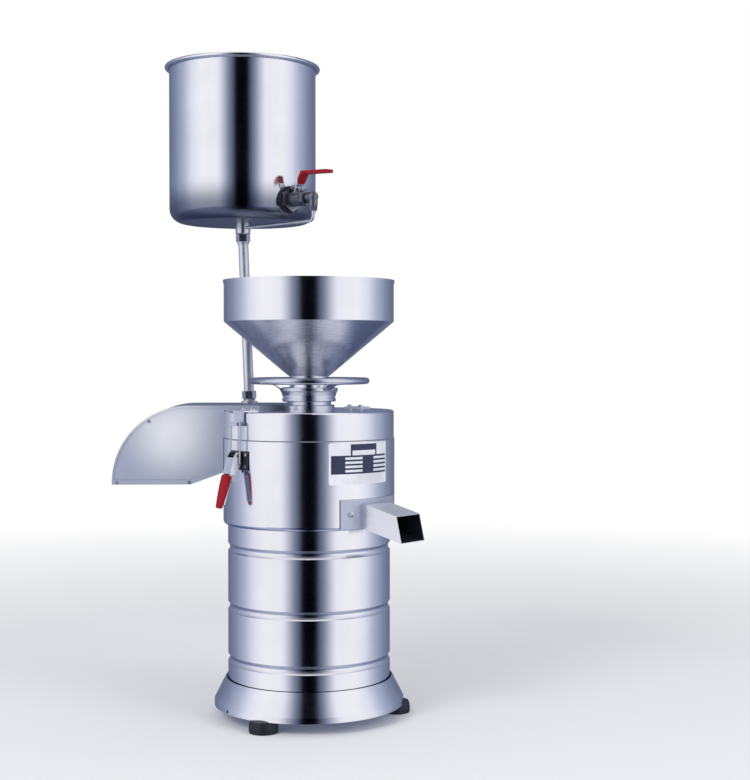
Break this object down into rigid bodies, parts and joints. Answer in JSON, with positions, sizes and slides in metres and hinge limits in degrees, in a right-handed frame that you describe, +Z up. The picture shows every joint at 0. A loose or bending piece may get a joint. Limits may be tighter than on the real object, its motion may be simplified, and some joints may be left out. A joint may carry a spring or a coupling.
{
  "type": "soy milk machine",
  "caption": "Upright soy milk grinder with motor stand, filter chamber, milk spout, residue hood, hopper, handwheel and water tank.",
  "frame": {"origin": "on the main vertical axis of the motor and chamber, at the floor under the three feet", "axes": "+Z up, -Y is the front seen in the picture, +X is to the right in it; the residue hood points to -X"},
  "size_m": [0.4699, 0.3866, 1.016],
  "materials": {
    "polished_steel": "mirror-like stainless sheet",
    "satin_steel": "satin stainless sheet",
    "zinc_steel": "bright machined steel",
    "black_steel": "black painted steel",
    "valve_metal": "cast nickel-plated valve body",
    "cast_aluminium": "sand-cast",
    "laminated_iron": "stacked laminations",
    "copper_wire": "varnished copper wire",
    "filter_mesh": "fine woven mesh",
    "grindstone": "pale abrasive stone",
    "black_rubber": "matt moulded rubber",
    "white_silicone": "matt silicone",
    "black_plastic": "matt moulded plastic",
    "grey_plastic": "matt moulded plastic",
    "red_plastic": "soft glossy sleeve"
  },
  "bodies": {
    "stand": {"rubber_feet": "black_rubber", "foot_fasteners": "zinc_steel", "base_skirt": "polished_steel", "base_plate": "zinc_steel", "motor_casing": "polished_steel", "chamber_housing": "polished_steel", "residue_ring": "polished_steel", "lid_seal": "white_silicone", "milk_spout": "polished_steel", "spout_gasket": "black_rubber", "spout_fasteners": "zinc_steel", "upper_end_shield": "cast_aluminium", "lower_end_shield": "cast_aluminium", "stator_core": "laminated_iron", "stator_windings": "copper_wire", "motor_fasteners": "zinc_steel", "motor_bearings": "zinc_steel", "shaft_seal": "black_rubber", "run_capacitor": "black_plastic", "latch_bases": "black_steel", "latch_rivets": "zinc_steel", "power_switch_body": "black_plastic", "cable_gland": "black_plastic"},
    "rotor": {"motor_shaft": "zinc_steel", "rotor_core": "laminated_iron", "cooling_fan": "grey_plastic", "stone_seat": "zinc_steel", "filter_basket": "polished_steel", "filter_screen": "filter_mesh", "lower_grindstone": "grindstone", "stone_nut": "zinc_steel"},
    "lid_assembly": {"lid": "polished_steel", "lid_neck": "polished_steel", "residue_hood": "satin_steel", "lid_rivets": "zinc_steel", "latch_catches": "satin_steel", "standpipe": "polished_steel", "pipe_unions": "zinc_steel", "tank_socket": "zinc_steel", "water_tank": "polished_steel", "valve_gasket": "black_rubber", "valve_locknut": "zinc_steel", "valve_body": "valve_metal", "water_tube": "satin_steel"},
    "handwheel_body": {"handwheel": "polished_steel"},
    "feed_tube_assembly": {"feed_tube": "polished_steel", "stone_carrier": "zinc_steel", "upper_grindstone": "grindstone"},
    "hopper_body": {"hopper": "polished_steel"},
    "valve_handle": {"valve_ball": "zinc_steel", "valve_lever": "zinc_steel", "lever_sleeve": "red_plastic"},
    "latch_lever_left_body": {"latch_lever_left": "satin_steel", "latch_grip_left": "red_plastic"},
    "latch_lever_right_body": {"latch_lever_right": "satin_steel", "latch_grip_right": "red_plastic"},
    "latch_bail_left_body": {"latch_bail_left": "zinc_steel"},
    "latch_bail_right_body": {"latch_bail_right": "zinc_steel"},
    "switch_rocker_body": {"switch_rocker": "red_plastic"}
  },
  "joints": [
    {"name": "rotor_spin", "type": "hinge", "parent": "stand", "child": "rotor", "pos_m": [0, 0, 0.3], "axis": [0, 0, 1], "continuous": true},
    {"name": "lid_lift", "type": "slide", "parent": "stand", "child": "lid_assembly", "axis": [0, 0, 1], "range_m": [0, 0.15]},
    {"name": "handwheel_turn", "type": "hinge", "parent": "lid_assembly", "child": "handwheel_body", "pos_m": [0, 0, 0.495], "axis": [0, 0, 1], "range_deg": [-84, 360]},
    {"name": "feed_tube_travel", "type": "slide", "parent": "lid_assembly", "child": "feed_tube_assembly", "axis": [0, 0, 1], "range_m": [-0.0007, 0.003]},
    {"name": "hopper_lift", "type": "slide", "parent": "feed_tube_assembly", "child": "hopper_body", "axis": [0, 0, 1], "range_m": [0, 0.06]},
    {"name": "valve_turn", "type": "hinge", "parent": "lid_assembly", "child": "valve_handle", "pos_m": [-0.01794, -0.00295, 0.813], "axis": [0, 0, 1], "range_deg": [-90, 0]},
    {"name": "latch_left_open", "type": "hinge", "parent": "stand", "child": "latch_lever_left_body", "pos_m": [-0.11127, -0.08693, 0.405], "axis": [-0.6157, 0.788, 0], "range_deg": [0, 140]},
    {"name": "bail_left_swing", "type": "hinge", "parent": "lid_assembly", "child": "latch_bail_left_body", "pos_m": [-0.10914, -0.08527, 0.453], "axis": [-0.6157, 0.788, 0], "range_deg": [0, 10.6]},
    {"name": "latch_right_open", "type": "hinge", "parent": "stand", "child": "latch_lever_right_body", "pos_m": [0.09076, 0.10816, 0.405], "axis": [0.766, -0.6428, 0], "range_deg": [0, 140]},
    {"name": "bail_right_swing", "type": "hinge", "parent": "lid_assembly", "child": "latch_bail_right_body", "pos_m": [0.08903, 0.1061, 0.453], "axis": [0.766, -0.6428, 0], "range_deg": [0, 10.6]},
    {"name": "switch_rock", "type": "hinge", "parent": "stand", "child": "switch_rocker_body", "pos_m": [0.0625, 0.10825, 0.131], "axis": [0.866, -0.5, 0], "range_deg": [0, 20]}
  ],
  "couplings": [
    {"joint": "feed_tube_travel", "follows": "handwheel_turn", "m_per_rad": 0.00047746},
    {"joint": "bail_left_swing", "follows": "latch_left_open", "ratio": 0.075},
    {"joint": "bail_right_swing", "follows": "latch_right_open", "ratio": 0.075}
  ]
}
